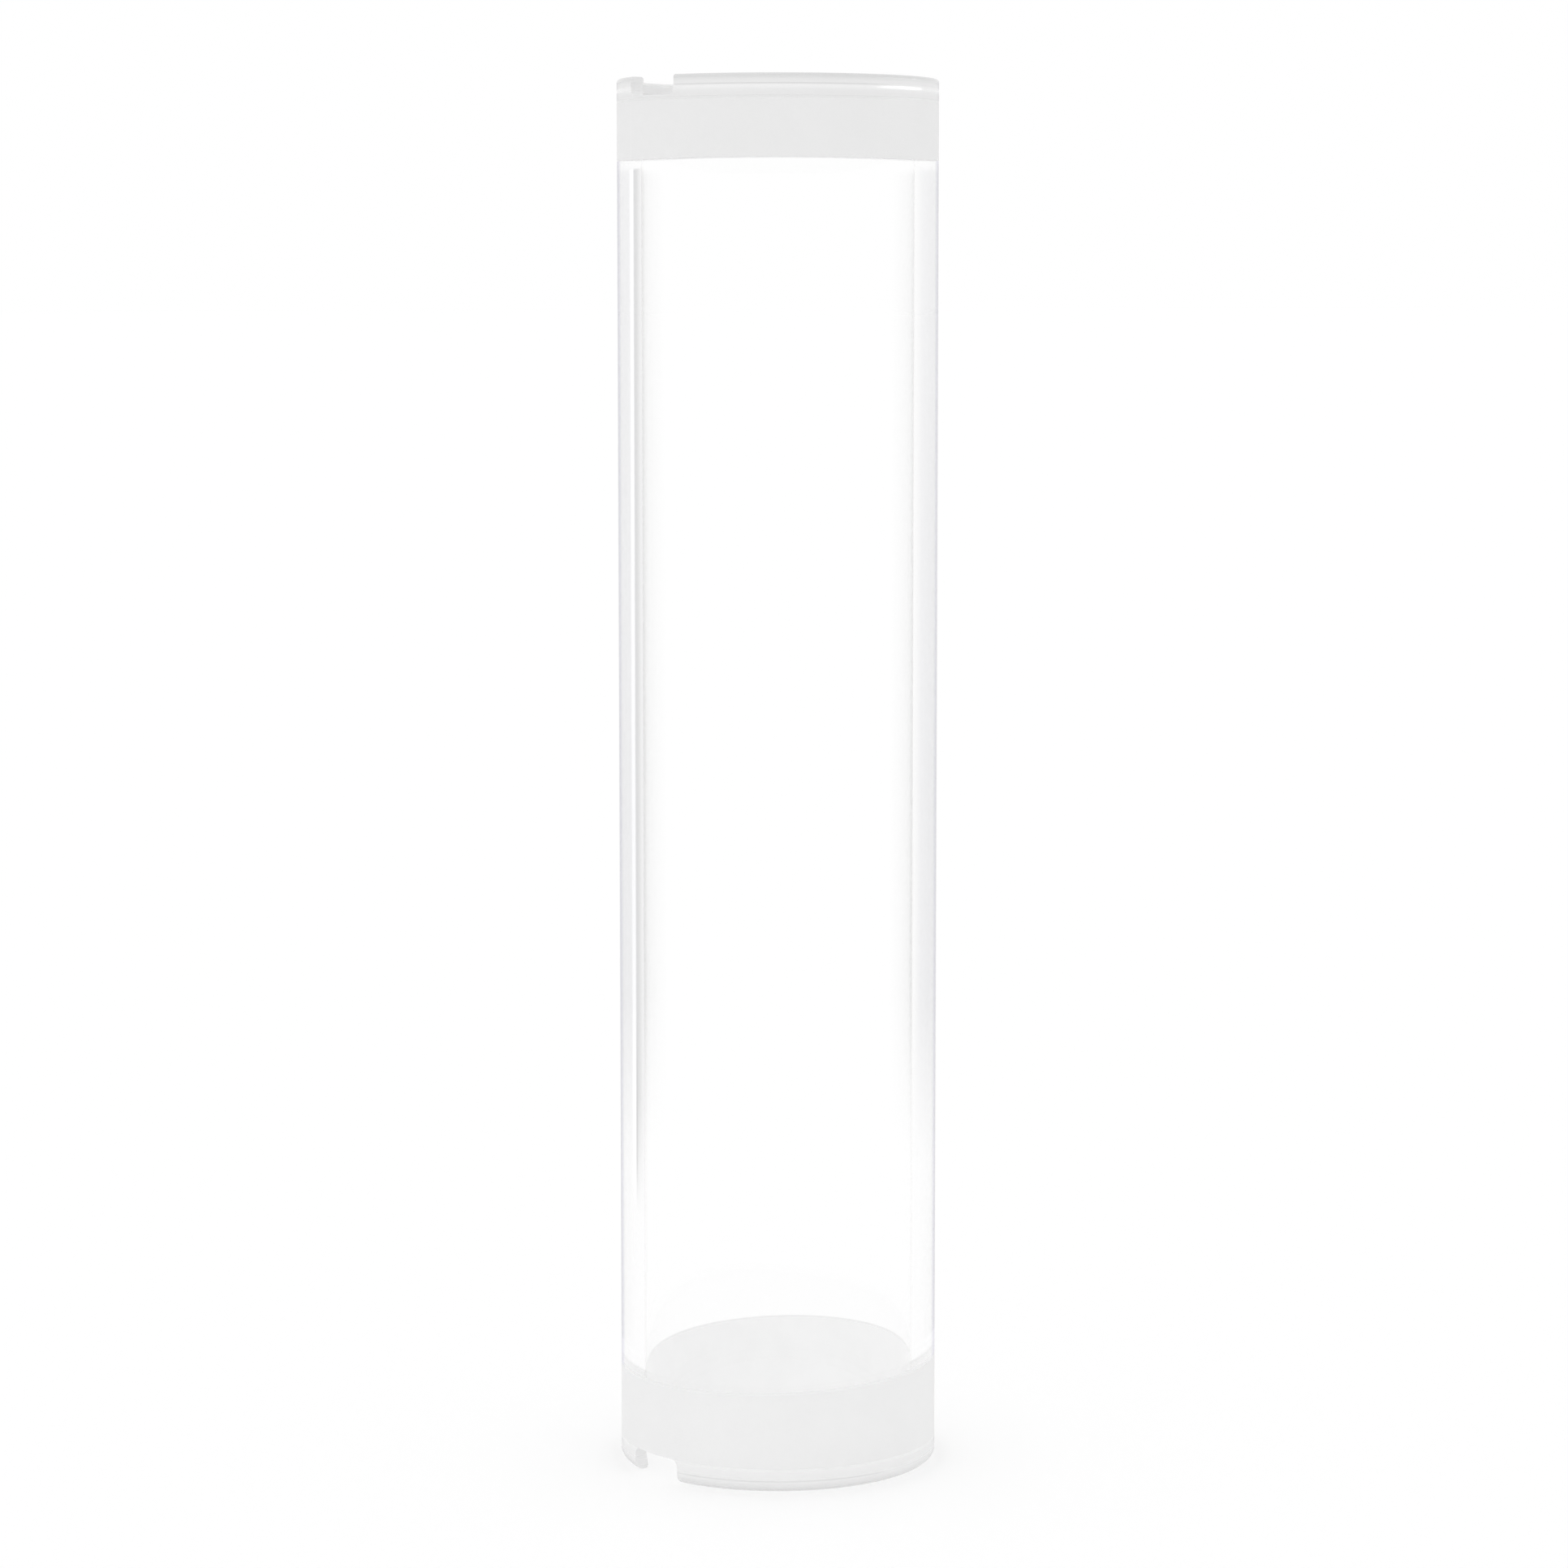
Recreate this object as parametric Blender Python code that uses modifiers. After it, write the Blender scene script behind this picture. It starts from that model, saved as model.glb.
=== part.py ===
"""Clear tube with a push-on frosted collar at each end: the solids, in metres, +Z along the tube.

The origin is the centre of the lower end face, and the notches of both lips face -Y.
"""

import math

import bmesh
import bpy
from mathutils import Matrix, Vector

# Driving sizes
OUTER_DIAMETER = 0.0400
TUBE_WALL = 0.0030
TUBE_LENGTH = 0.1740
LOWER_SLEEVE_LENGTH = 0.0094
UPPER_SLEEVE_LENGTH = 0.0070
SLEEVE_WALL = 0.0011
LIP_HEIGHT = 0.0027
LIP_OUTER_ROUNDING = 0.0012
LIP_INNER_ROUNDING = 0.0004
NOTCH_WIDTH = 0.0086
NOTCH_DEPTH = 0.0024
NOTCH_CORNER = 0.0010
LEAD_IN = 0.0004
EDGE_BREAK = 0.00015

# Clearances between neighbours
FIT_CLEARANCE = 0.0002
SEAT_GAP = 0.0003

# How finely round shapes are cut
TURN_STEPS = 96
ARC_STEPS = 4
CUTTER_MARGIN = 0.0015

OUTER_RADIUS = OUTER_DIAMETER / 2
BORE_RADIUS = OUTER_RADIUS - TUBE_WALL
SLEEVE_BORE_RADIUS = OUTER_RADIUS - SLEEVE_WALL
SPIGOT_RADIUS = SLEEVE_BORE_RADIUS - FIT_CLEARANCE
LIP_SEAT = LIP_HEIGHT + SEAT_GAP


def clear_scene():
    for obj in list(bpy.data.objects):
        bpy.data.objects.remove(obj, do_unlink=True)


def make_material(name, colour, roughness, transmission):
    material = bpy.data.materials.new(name)
    material.use_nodes = True
    shader = material.node_tree.nodes["Principled BSDF"]
    shader.inputs["Base Color"].default_value = (*colour, 1.0)
    shader.inputs["Roughness"].default_value = roughness
    shader.inputs["Metallic"].default_value = 0.0
    shader.inputs["IOR"].default_value = 1.49
    shader.inputs["Transmission Weight"].default_value = transmission
    return material


def make_collection(name):
    collection = bpy.data.collections.new(name)
    bpy.context.scene.collection.children.link(collection)
    return collection


def make_empty(name, height, parent, collection):
    empty = bpy.data.objects.new(name, None)
    empty.empty_display_size = BORE_RADIUS
    empty.location = (0, 0, height)
    empty.parent = parent
    collection.objects.link(empty)
    return empty


def corner(centre, radius, start, steps):
    """Points of a quarter turn about centre, anticlockwise from the start angle."""
    points = []
    for step in range(steps + 1):
        angle = start + math.pi / 2 * step / steps
        points.append((centre[0] + radius * math.cos(angle), centre[1] + radius * math.sin(angle)))
    return points


def turned(name, profile, material, parent, collection):
    """A ring turned from a closed profile of (radius, height) points, given anticlockwise."""
    count = len(profile)
    mesh = bpy.data.meshes.new(name)
    points = [(radius, 0, height) for radius, height in profile]
    mesh.from_pydata(points, [(i, (i + 1) % count) for i in range(count)], [])
    mesh.materials.append(material)
    ring = bpy.data.objects.new(name, mesh)
    ring.parent = parent
    collection.objects.link(ring)
    screw = ring.modifiers.new("Turn", "SCREW")
    screw.axis = "Z"
    screw.angle = 2 * math.pi
    screw.steps = TURN_STEPS
    screw.render_steps = TURN_STEPS
    screw.use_merge_vertices = True
    screw.merge_threshold = 0.00001
    screw.use_smooth_shade = True
    screw.use_normal_flip = True
    return ring


def barrel_profile():
    """The clear tube: bore, spigot, shoulder, outside, shoulder and spigot."""
    low_end = LIP_SEAT
    high_end = TUBE_LENGTH - LIP_SEAT
    low_shoulder = low_end + LOWER_SLEEVE_LENGTH + SEAT_GAP
    high_shoulder = high_end - UPPER_SLEEVE_LENGTH - SEAT_GAP
    return [
        (BORE_RADIUS, low_end),
        (SPIGOT_RADIUS - LEAD_IN, low_end),
        (SPIGOT_RADIUS, low_end + LEAD_IN),
        (SPIGOT_RADIUS, low_shoulder),
        (OUTER_RADIUS - EDGE_BREAK, low_shoulder),
        (OUTER_RADIUS, low_shoulder + EDGE_BREAK),
        (OUTER_RADIUS, high_shoulder - EDGE_BREAK),
        (OUTER_RADIUS - EDGE_BREAK, high_shoulder),
        (SPIGOT_RADIUS, high_shoulder),
        (SPIGOT_RADIUS, high_end - LEAD_IN),
        (SPIGOT_RADIUS - LEAD_IN, high_end),
        (BORE_RADIUS, high_end),
    ]


def sleeve_profile(length):
    """The frosted sleeve, from its seat on the lip to the rim that meets the barrel's shoulder."""
    return [
        (SLEEVE_BORE_RADIUS, LIP_SEAT),
        (OUTER_RADIUS - EDGE_BREAK, LIP_SEAT),
        (OUTER_RADIUS, LIP_SEAT + EDGE_BREAK),
        (OUTER_RADIUS, LIP_SEAT + length - EDGE_BREAK),
        (OUTER_RADIUS - EDGE_BREAK, LIP_SEAT + length),
        (SLEEVE_BORE_RADIUS + LEAD_IN, LIP_SEAT + length),
        (SLEEVE_BORE_RADIUS, LIP_SEAT + length - LEAD_IN),
    ]


def lip_profile():
    """The clear lip: as thick as the tube's wall, with its free end rounded on both edges."""
    inner_centre = (BORE_RADIUS + LIP_INNER_ROUNDING, LIP_INNER_ROUNDING)
    outer_centre = (OUTER_RADIUS - LIP_OUTER_ROUNDING, LIP_OUTER_ROUNDING)
    return [
        *corner(inner_centre, LIP_INNER_ROUNDING, math.pi, ARC_STEPS),
        *corner(outer_centre, LIP_OUTER_ROUNDING, 1.5 * math.pi, ARC_STEPS),
        (OUTER_RADIUS, LIP_HEIGHT - EDGE_BREAK),
        (OUTER_RADIUS - EDGE_BREAK, LIP_HEIGHT),
        (BORE_RADIUS, LIP_HEIGHT),
    ]


def notch_cutter(name, parent, collection):
    """A block across the wall on the -Y side, whose two inner corners are rounded."""
    inner = BORE_RADIUS * math.cos(math.asin(NOTCH_WIDTH / 2 / BORE_RADIUS)) - CUTTER_MARGIN
    outer = OUTER_RADIUS + CUTTER_MARGIN
    height = NOTCH_DEPTH + CUTTER_MARGIN
    shape = bmesh.new()
    bmesh.ops.create_cube(shape, size=1.0)
    bmesh.ops.scale(shape, vec=(NOTCH_WIDTH, outer - inner, height), verts=shape.verts)
    centre = Vector((0, -(inner + outer) / 2, NOTCH_DEPTH - height / 2))
    bmesh.ops.transform(shape, matrix=Matrix.Translation(centre), verts=shape.verts)
    middle = NOTCH_DEPTH - height / 2
    rounded = []
    for edge in shape.edges:
        first, second = edge.verts
        along_y = abs(first.co.y - second.co.y) > height / 2
        if along_y and min(first.co.z, second.co.z) > middle:
            rounded.append(edge)
    bmesh.ops.bevel(
        shape,
        geom=rounded,
        offset=NOTCH_CORNER,
        segments=ARC_STEPS,
        profile=0.5,
        affect="EDGES",
    )
    mesh = bpy.data.meshes.new(name)
    shape.to_mesh(mesh)
    shape.free()
    cutter = bpy.data.objects.new(name, mesh)
    cutter.parent = parent
    cutter.hide_render = True
    cutter.display_type = "WIRE"
    collection.objects.link(cutter)
    return cutter


def make_collar(side, sleeve_length, parent, materials, parts, cutters):
    """A sleeve and a notched lip, modelled for the lower end with the free end at height 0."""
    turned(f"{side}_sleeve", sleeve_profile(sleeve_length), materials["frosted"], parent, parts)
    lip = turned(f"{side}_lip", lip_profile(), materials["lip"], parent, parts)
    notch = lip.modifiers.new("Notch", "BOOLEAN")
    notch.operation = "DIFFERENCE"
    notch.solver = "EXACT"
    notch.object = notch_cutter(f"{side}_notch_cutter", parent, cutters)


def main():
    clear_scene()
    materials = {
        "clear": make_material("clear_acrylic", (0.96, 0.96, 0.97), 0.03, 1.0),
        "lip": make_material("polished_acrylic", (0.92, 0.92, 0.93), 0.08, 0.8),
        "frosted": make_material("frosted_acrylic", (0.84, 0.84, 0.84), 0.70, 0.3),
    }
    parts = make_collection("clear_tube_with_frosted_collars")
    cutters = make_collection("cutters")

    lower_collar = make_empty("lower_collar", 0.0, None, parts)
    make_collar("lower", LOWER_SLEEVE_LENGTH, lower_collar, materials, parts, cutters)

    tube = make_empty("tube", 0.0, lower_collar, parts)
    turned("barrel", barrel_profile(), materials["clear"], tube, parts)

    upper_collar = make_empty("upper_collar", TUBE_LENGTH, tube, parts)
    upper_collar.rotation_euler = (0, math.pi, 0)
    make_collar("upper", UPPER_SLEEVE_LENGTH, upper_collar, materials, parts, cutters)


main()
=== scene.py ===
"""Open clear tube with frosted push-on collars: the finished look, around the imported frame.

Lengths are metres in the frame's axes: +Z up the tube, the notches of both lips towards -Y.
"""

import math

import bmesh
import bpy
from mathutils import Matrix, Vector


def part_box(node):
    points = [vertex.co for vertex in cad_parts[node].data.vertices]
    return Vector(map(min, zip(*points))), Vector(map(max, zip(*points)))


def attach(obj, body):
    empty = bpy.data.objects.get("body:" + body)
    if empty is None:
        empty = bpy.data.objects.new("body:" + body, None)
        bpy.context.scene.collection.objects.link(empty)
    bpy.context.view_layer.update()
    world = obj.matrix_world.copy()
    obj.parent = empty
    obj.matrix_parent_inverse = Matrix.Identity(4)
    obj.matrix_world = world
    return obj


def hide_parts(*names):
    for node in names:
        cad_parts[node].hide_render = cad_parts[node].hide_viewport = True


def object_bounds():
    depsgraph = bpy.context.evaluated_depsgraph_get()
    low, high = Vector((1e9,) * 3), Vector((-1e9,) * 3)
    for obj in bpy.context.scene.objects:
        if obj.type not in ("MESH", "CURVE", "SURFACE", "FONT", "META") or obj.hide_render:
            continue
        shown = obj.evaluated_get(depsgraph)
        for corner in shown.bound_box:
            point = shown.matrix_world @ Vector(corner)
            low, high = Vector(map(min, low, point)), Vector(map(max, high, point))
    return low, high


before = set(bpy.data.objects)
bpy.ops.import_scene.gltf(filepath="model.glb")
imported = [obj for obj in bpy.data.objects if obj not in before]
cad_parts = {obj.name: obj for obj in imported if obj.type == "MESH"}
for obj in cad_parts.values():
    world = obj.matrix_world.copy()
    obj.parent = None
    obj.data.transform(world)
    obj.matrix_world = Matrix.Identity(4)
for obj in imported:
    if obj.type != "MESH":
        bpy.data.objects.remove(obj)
CAD_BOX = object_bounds()

# Sizes read from the frame
TUBE_LENGTH = CAD_BOX[1].z
OUTER_RADIUS = CAD_BOX[1].x
LIP_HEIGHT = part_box("lower_lip")[1].z
LOWER_SLEEVE = (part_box("lower_sleeve")[0].z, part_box("lower_sleeve")[1].z)
UPPER_SLEEVE = (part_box("upper_sleeve")[0].z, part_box("upper_sleeve")[1].z)
BARREL = (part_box("barrel")[0].z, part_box("barrel")[1].z)

# Sizes inside the pieces
TUBE_WALL = 0.0030
SLEEVE_WALL = 0.0011
FIT_CLEARANCE = 0.0002
SHOULDER_GAP = 0.00003
LOWER_LIP_ROUNDING = 0.0012
UPPER_LIP_ROUNDING = 0.00035
LIP_INNER_ROUNDING = 0.0004
LIP_END_WALL = 0.0020
LIP_SEAT_WALL = 0.0015
EDGE_ROUNDING = 0.00012
SEAM_ROUNDING = 0.00006
LEAD_IN_ROUNDING = 0.0003
SUPPORT_REACH = 0.00008
NOTCH_WIDTH = 0.0086
UPPER_NOTCH_DEPTH = 0.0024
NOTCH_OVERCUT = 0.00002
NOTCH_CORNER = 0.0010
NOTCH_EDGE = 0.00015
CUTTER_MARGIN = 0.0015
CEMENT_RECESS = 0.00002
CEMENT_DEPTH = 0.0009

BORE_RADIUS = OUTER_RADIUS - TUBE_WALL
SLEEVE_BORE = OUTER_RADIUS - SLEEVE_WALL
SPIGOT_RADIUS = SLEEVE_BORE - FIT_CLEARANCE

# Margins that tell a piece's faces apart
GROUND_MARGIN = 0.0001
SURFACE_STEP = 0.0001
LEAST_TILT = 0.05
SHOULDER_TILT = (0.5, 0.9)
OUTSIDE_LEAN = (0.05, 0.35)

# The bands' inner edges are not quite level. Their rise everywhere, towards the viewpoint, to
# the viewer's right and twice round the turn
LOWER_RIM_RISE = (0.00065, -0.00068, 0.00060, 0.00005)
UPPER_RIM_RISE = (0.00025, -0.00050, 0.0, 0.00025)
RIM_REACH = 0.0010

# Fineness of the turned meshes
SEGMENTS = 288
CORNER_STEPS = 6
NOTCH_EDGE_STEPS = 3
NOTCH_EDGE_ANGLE = math.radians(50)
SHARP_ANGLE = math.radians(32)
WELD_DISTANCE = 0.000002

# How clear and how glossy the plastics are
ACRYLIC_IOR = 1.49
LIP_CLEARNESS = 0.10
SLEEVE_CLEARNESS = 0.15
CEMENT_CLEARNESS = 0.2
SLEEVE_GLOSS = 0.3

# Share of lamp light that passes each surface
CLEAR_SHARE = 0.995
LIP_SHARE = 0.97
FROSTED_SHARE = 0.97

# Fineness of each finish's grain, in features per metre, with the scale along X, Y and Z that draws
# it out, and the detail of the noise
DRAWN_GRAIN = 700.0
DRAWN_STRETCH = (1.0, 1.0, 0.02)
LIP_CLOUD = 420.0
LIP_GRAIN = 9000.0
LIP_STRETCH = (0.05, 0.05, 1.0)
SPIGOT_CLOUD = 300.0
SPIGOT_GRAIN = 4200.0
SLEEVE_CLOUD = 160.0
SLEEVE_STREAKS = 520.0
STREAK_STRETCH = (1.0, 1.0, 0.03)
SLEEVE_SPECKS = 170.0
SLEEVE_GRAIN = 5200.0
CEMENT_GRAIN = 900.0
PLAIN_DETAIL = 2.0
FINE_DETAIL = 3.0
FINEST_DETAIL = 4.0

# The part of a noise's or a speck's range that shows
NOISE_RANGE = (0.3, 0.7)
GRAIN_RANGE = (0.3, 0.8)
LIP_CLOUD_RANGE = (0.35, 0.7)
STREAK_RANGE = (0.66, 0.74)
SPECK_RANGE = (0.03, 0.05)

# Range of each finish's roughness, and strength and depth of its relief
CLEAR_ROUGHNESS = (0.0, 0.005)
LIP_ROUGHNESS = (0.05, 0.14)
MATT_ROUGHNESS = (0.55, 0.75)
CEMENT_ROUGHNESS = (0.30, 0.50)
DRAWN_BUMP = (0.006, 0.00005)
LIP_BUMP = (0.05, 0.00005)
SPIGOT_BUMP = (0.2, 0.00005)
SLEEVE_BUMP = (0.25, 0.00006)
CEMENT_BUMP = (0.1, 0.00005)

# Tones of the pale finishes, and how strongly the added ones show. Both ends differ a little, so the upper
# one has its own: a painted shade that makes its sleeve and cement greyer
WHITE = (1.0, 1.0, 1.0, 1.0)
LIP_CLOUD_TONE = 0.74
LIP_CLOUD_SHARE = 0.05
SPIGOT_TONES = (0.948, 0.928)
# Painted shade on the spigots' level shoulders, in the seam under the sleeves
SHOULDER_PAINTED_SHADE = 0.81
SLEEVE_TONES = (0.885, 0.870)
STREAK_TONE = 0.92
STREAK_SHARE = 0.5
DUST_COLOUR = (0.62, 0.61, 0.60, 1.0)
DUST_SHARE = 0.4
UPPER_SLEEVE_SHADE = 0.70
UPPER_SLEEVE_SHADE_SHARE = 0.23
CEMENT_TONES = (0.92, 0.89)
UPPER_CEMENT_SHADE = 0.82
HEIGHT_RANGE = (0.1, 0.9)

# Painted shade by how far a surface turns from the viewer, for the dark refractions and reflections at the
# tube's outline, in its wall and bore, and at the lips' edges
FACING_BLEND = 0.5
OUTLINE_PAINTED_SHADE = (
    (0.79, 1.0), (0.85, (0.59, 0.57, 0.74)), (0.91, (0.31, 0.29, 0.46)), (1.00, (0.16, 0.14, 0.19)),
)
OUTER_WALL_PAINTED_SHADE = (
    (0.46, 1.0), (0.51, 0.91), (0.565, (0.766, 0.768, 0.788)), (0.64, (0.725, 0.727, 0.747)),
    (0.76, (0.695, 0.697, 0.717)),
)
BORE_WALL_PAINTED_SHADE = ((0.44, 1.0), (0.60, 0.91), (0.70, 0.83), (0.78, 0.72), (0.85, 0.45), (1.00, 0.30))
LIP_EDGE_PAINTED_SHADE = ((0.0, 0.88), (0.80, 0.87), (0.96, (0.76, 0.755, 0.77)), (1.0, (0.66, 0.655, 0.67)))

# Strength of the painted shade in the wall and the bore, by the share of the tube's length
WALL_PAINTED_SHADE_STRENGTH = ((0.225, 0.0), (0.34, 1.0), (0.50, 1.0), (0.82, 0.8), (0.933, 0.7), (0.937, 0.0))

# Painted shade on each lip's outside, darker towards the free end, with a painted highlight band on the
# upper lip, and the painted dark shade line on it, by the share of its height from the free end
LOWER_LIP_PAINTED_SHADE = ((0.03, 0.84), (0.30, 0.95), (0.49, 0.98), (0.58, 0.99), (1.0, 1.0))
LOWER_LIP_SHADE_LINE = ((0.49, 1.0), (0.52, 0.875), (0.545, 0.872), (0.58, 1.0))
UPPER_LIP_SHADE_AND_HIGHLIGHT = (
    (0.05, 0.79), (0.15, 0.83), (0.31, 0.93), (0.43, 0.94), (0.51, 1.0), (0.63, 1.0), (0.70, 0.95),
    (0.85, 0.925), (1.0, 0.925),
)
UPPER_LIP_SHADE_LINE = ((0.43, 1.0), (0.45, 0.848), (0.48, 0.829), (0.51, 1.0))

# The turn from the viewer over which that painted line fades, the painted shade of each lip's inside and
# notch faces, and the roughness added by the share of height
LIP_LINE_FACING = (0.21, 0.31)
LOWER_LIP_INSIDE_SHADE = 0.965
UPPER_LIP_INSIDE_SHADE = 0.915
LIP_DULLNESS = ((0.15, 0.0), (0.20, 0.35), (0.49, 0.35), (0.51, 0.0), (0.62, 0.0), (0.68, 0.35))

# The photograph's viewpoint
CAMERA_AZIMUTH = math.radians(51.5)
CAMERA_DISTANCE = 0.5693
CAMERA_HEIGHT = 0.14772
CAMERA_AIM_HEIGHT = 0.08615
CAMERA_AIM_RIGHT = 0.00076
CAMERA_LENS = 104.24
CAMERA_CLIP = (0.01, 100.0)
SENSOR_WIDTH = 36.0
TOWARDS_VIEWER = Vector((math.sin(CAMERA_AZIMUTH), -math.cos(CAMERA_AZIMUTH), 0))
VIEWERS_RIGHT = Vector((math.cos(CAMERA_AZIMUTH), math.sin(CAMERA_AZIMUTH), 0))

# Light and stage
WORLD_LIGHT = 1.0
FLOOR_SIDE = 60.0
FLOOR_DROP = 0.0002
FLOOR_COLOUR = 0.90
FLOOR_GLOW = 0.05
KEY_LIGHT = 0.20
KEY_SPREAD = math.radians(50)
KEY_LEAN = math.radians(25)
GLINT_DISTANCE = 0.50
GLINT_ANGLE = math.radians(97)
GLINT_LEVEL = 0.190
GLINT_WIDTH = 0.48
GLINT_HEIGHT = 0.010
GLINT_POWER = 0.106
FLAG_DISTANCE = 0.130
FLAG_START = math.radians(38)
FLAG_END = math.radians(70)
FLAG_HEIGHT = 0.166
FLAG_GLOW = 1.17
FLAG_CORNERS = ((1.0, 0.0), (0.0, 0.0), (0.0, 1.0), (1.0, 1.0))
FLAG_LEVELS = (
    (0.0, 1.0), (0.06, 1.17), (0.22, 1.17), (0.29, 0.75), (0.39, 0.75), (0.59, 0.88), (0.78, 0.975),
    (1.0, 1.0),
)
FLAG_FOOT_FADE = ((0.05, 0.0), (0.16, 1.0))
FLAG_FOOT_LINE = ((0.235, 1.0), (0.262, 0.70), (0.32, 0.82), (0.37, 1.0))
FLAG_FOOT_REACH = ((0.06, 0.0), (0.10, 1.0), (0.14, 1.0), (0.24, 0.0))

# A ray's crossings of the wall's surface on its way in and out, and half the step between two counts
WALL_CROSSINGS = 2
HALF_COUNT = 0.5

# Places of the colours and of the result among a colour mix's sockets
MIX_FIRST = 6
MIX_SECOND = 7
MIX_RESULT = 2


def link(tree, source, target):
    tree.links.new(source, target)


def add_node(tree, kind, place, **settings):
    node = tree.nodes.new(kind)
    node.location = place
    for name, value in settings.items():
        setattr(node, name, value)
    return node


# Turned pieces


def turned_tree():
    """A Geometry Nodes tree that rounds a closed profile's corners and turns it about Z."""
    tree = bpy.data.node_groups.new("turned_piece", "GeometryNodeTree")
    sockets = tree.interface
    sockets.new_socket("Profile", in_out="INPUT", socket_type="NodeSocketGeometry")
    sockets.new_socket("Segments", in_out="INPUT", socket_type="NodeSocketInt")
    sockets.new_socket("Corner Steps", in_out="INPUT", socket_type="NodeSocketInt")
    sockets.new_socket("Finish", in_out="INPUT", socket_type="NodeSocketMaterial")
    sockets.new_socket("Piece", in_out="OUTPUT", socket_type="NodeSocketGeometry")
    given = add_node(tree, "NodeGroupInput", (-1200, 0))
    result = add_node(tree, "NodeGroupOutput", (1400, 0))

    outline = add_node(tree, "GeometryNodeMeshToCurve", (-1000, 200))
    rounding = add_node(tree, "GeometryNodeInputNamedAttribute", (-1000, -100), data_type="FLOAT")
    rounding.inputs["Name"].default_value = "rounding"
    fillet = add_node(tree, "GeometryNodeFilletCurve", (-800, 200), mode="POLY")
    fillet.inputs["Limit Radius"].default_value = True
    wire = add_node(tree, "GeometryNodeCurveToMesh", (-600, 200))
    link(tree, given.outputs["Profile"], outline.inputs["Mesh"])
    link(tree, outline.outputs["Curve"], fillet.inputs["Curve"])
    link(tree, given.outputs["Corner Steps"], fillet.inputs["Count"])
    link(tree, rounding.outputs["Attribute"], fillet.inputs["Radius"])
    link(tree, fillet.outputs["Curve"], wire.inputs["Curve"])

    count = add_node(tree, "GeometryNodeAttributeDomainSize", (-400, 300), component="MESH")
    rows = add_node(tree, "FunctionNodeIntegerMath", (-200, 300), operation="ADD")
    rows.inputs[1].default_value = 1
    columns = add_node(tree, "FunctionNodeIntegerMath", (-200, 100), operation="ADD")
    columns.inputs[1].default_value = 1
    grid = add_node(tree, "GeometryNodeMeshGrid", (0, 300))
    link(tree, wire.outputs["Mesh"], count.inputs["Geometry"])
    link(tree, count.outputs["Point Count"], rows.inputs[0])
    link(tree, given.outputs["Segments"], columns.inputs[0])
    link(tree, rows.outputs[0], grid.inputs["Vertices X"])
    link(tree, columns.outputs[0], grid.inputs["Vertices Y"])

    index = add_node(tree, "GeometryNodeInputIndex", (-400, -100))
    row = add_node(tree, "FunctionNodeIntegerMath", (-200, -100), operation="DIVIDE_FLOOR")
    around = add_node(tree, "FunctionNodeIntegerMath", (-200, -300), operation="MODULO")
    profile_point = add_node(tree, "FunctionNodeIntegerMath", (0, -100), operation="MODULO")
    link(tree, index.outputs[0], row.inputs[0])
    link(tree, columns.outputs[0], row.inputs[1])
    link(tree, index.outputs[0], around.inputs[0])
    link(tree, columns.outputs[0], around.inputs[1])
    link(tree, row.outputs[0], profile_point.inputs[0])
    link(tree, count.outputs["Point Count"], profile_point.inputs[1])

    position = add_node(tree, "GeometryNodeInputPosition", (0, -400))
    sample = add_node(tree, "GeometryNodeSampleIndex", (200, 0), data_type="FLOAT_VECTOR", domain="POINT")
    share = add_node(tree, "ShaderNodeMath", (0, -500), operation="DIVIDE")
    angle = add_node(tree, "ShaderNodeMath", (200, -500), operation="MULTIPLY")
    angle.inputs[1].default_value = 2 * math.pi
    turn = add_node(tree, "ShaderNodeVectorRotate", (400, 0), rotation_type="Z_AXIS")
    link(tree, wire.outputs["Mesh"], sample.inputs["Geometry"])
    link(tree, position.outputs[0], sample.inputs["Value"])
    link(tree, profile_point.outputs[0], sample.inputs["Index"])
    link(tree, around.outputs[0], share.inputs[0])
    link(tree, given.outputs["Segments"], share.inputs[1])
    link(tree, share.outputs[0], angle.inputs[0])
    link(tree, sample.outputs["Value"], turn.inputs["Vector"])
    link(tree, angle.outputs[0], turn.inputs["Angle"])

    place = add_node(tree, "GeometryNodeSetPosition", (600, 200))
    weld = add_node(tree, "GeometryNodeMergeByDistance", (800, 200))
    weld.inputs["Distance"].default_value = WELD_DISTANCE
    real = add_node(tree, "GeometryNodeRealizeInstances", (1000, 200))
    finish = add_node(tree, "GeometryNodeSetMaterial", (1200, 200))
    link(tree, grid.outputs["Mesh"], place.inputs["Geometry"])
    link(tree, turn.outputs["Vector"], place.inputs["Position"])
    link(tree, place.outputs["Geometry"], weld.inputs["Geometry"])
    link(tree, weld.outputs["Geometry"], real.inputs["Geometry"])
    link(tree, real.outputs["Geometry"], finish.inputs["Geometry"])
    link(tree, given.outputs["Finish"], finish.inputs["Material"])
    link(tree, finish.outputs["Geometry"], result.inputs["Piece"])
    return tree


def with_supports(profile):
    """The profile with two more points on each long side, which keep the shading of flats flat."""
    result = []
    for i, (radius, height, rounding) in enumerate(profile):
        result.append((radius, height, rounding))
        following = profile[(i + 1) % len(profile)]
        side = Vector((following[0] - radius, following[1] - height))
        first = rounding + SUPPORT_REACH
        last = side.length - following[2] - SUPPORT_REACH
        if last - first < SUPPORT_REACH:
            continue
        along = side.normalized()
        for reach in (first, last):
            result.append((radius + along.x * reach, height + along.y * reach, 0.0))
    return result


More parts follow.
